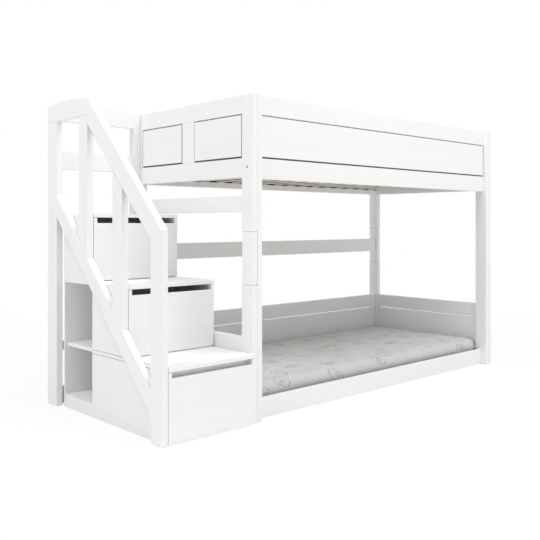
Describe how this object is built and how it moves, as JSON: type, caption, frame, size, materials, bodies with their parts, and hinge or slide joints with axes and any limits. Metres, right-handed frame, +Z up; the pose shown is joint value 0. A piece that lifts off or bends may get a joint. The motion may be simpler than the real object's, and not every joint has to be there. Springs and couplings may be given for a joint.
{
  "type": "bunk bed with storage stairs",
  "caption": "White wooden bunk bed with slatted bases and mattresses, and a staircase of drawer steps with a railing and side niches at its left end.",
  "frame": {"origin": "on the floor, under the middle of the bounding box", "axes": "+X along the bed from the stairs to the far end, +Y from the front to the wall, +Z up"},
  "size_m": [2.5808, 1.041, 1.545],
  "materials": {
    "white_painted_wood": "white satin paint",
    "slat_wood": "bare planed softwood",
    "drawer_box_wood": "clear lacquered plywood",
    "mattress_fabric": "woven cotton cover with a faint grey print",
    "bolt_steel": "zinc plated",
    "runner_metal": "powder coated",
    "glide_plastic": "moulded"
  },
  "bodies": {
    "bed": {"back_arch_rail": "white_painted_wood", "back_low_rails": "white_painted_wood", "back_mid_rail": "white_painted_wood", "back_stile": "white_painted_wood", "balusters": "white_painted_wood", "drawer_runners": "runner_metal", "frame_bolts": "bolt_steel", "front_guard_bottom_rail": "white_painted_wood", "front_guard_panel": "white_painted_wood", "front_guard_top_rail": "white_painted_wood", "front_side_legs": "white_painted_wood", "glides": "glide_plastic", "handrail": "white_painted_wood", "left_end_bottom_rail": "white_painted_wood", "left_end_mullion": "white_painted_wood", "left_end_panels": "white_painted_wood", "left_end_tie_rail": "white_painted_wood", "left_end_top_rail": "white_painted_wood", "left_lower_posts": "white_painted_wood", "left_upper_posts": "white_painted_wood", "lower_case_panels": "white_painted_wood", "lower_front_rail": "white_painted_wood", "lower_left_boards": "white_painted_wood", "lower_mattress": "mattress_fabric", "lower_rear_boards": "white_painted_wood", "lower_right_boards": "white_painted_wood", "lower_slat_ledges": "white_painted_wood", "lower_slats": "slat_wood", "lower_tread": "white_painted_wood", "middle_case_panels": "white_painted_wood", "middle_tread": "white_painted_wood", "newel_post": "white_painted_wood", "post_connectors": "white_painted_wood", "rear_guard_bottom_rail": "white_painted_wood", "rear_guard_panel": "white_painted_wood", "rear_guard_top_rail": "white_painted_wood", "rear_mid_rail": "white_painted_wood", "right_end_bottom_rail": "white_painted_wood", "right_end_mullion": "white_painted_wood", "right_end_panels": "white_painted_wood", "right_end_top_rail": "white_painted_wood", "right_lower_posts": "white_painted_wood", "right_upper_posts": "white_painted_wood", "stair_arch_rail": "white_painted_wood", "stair_back_panel": "white_painted_wood", "stair_rear_post": "white_painted_wood", "stringer": "white_painted_wood", "top_case_panels": "white_painted_wood", "top_tread": "white_painted_wood", "upper_mattress": "mattress_fabric", "upper_slat_ledges": "white_painted_wood", "upper_slats": "slat_wood"},
    "lower_drawer": {"lower_drawer_front": "white_painted_wood", "lower_drawer_box": "drawer_box_wood"},
    "middle_drawer": {"middle_drawer_front": "white_painted_wood", "middle_drawer_box": "drawer_box_wood"},
    "top_drawer": {"top_drawer_front": "white_painted_wood", "top_drawer_box": "drawer_box_wood"}
  },
  "joints": [
    {"name": "lower_drawer_slide", "type": "slide", "parent": "bed", "child": "lower_drawer", "axis": [0, -1, 0], "range_m": [0, 0.42]},
    {"name": "middle_drawer_slide", "type": "slide", "parent": "bed", "child": "middle_drawer", "axis": [0, -1, 0], "range_m": [0, 0.21]},
    {"name": "top_drawer_slide", "type": "slide", "parent": "bed", "child": "top_drawer", "axis": [0, -1, 0], "range_m": [0, 0.2]}
  ]
}
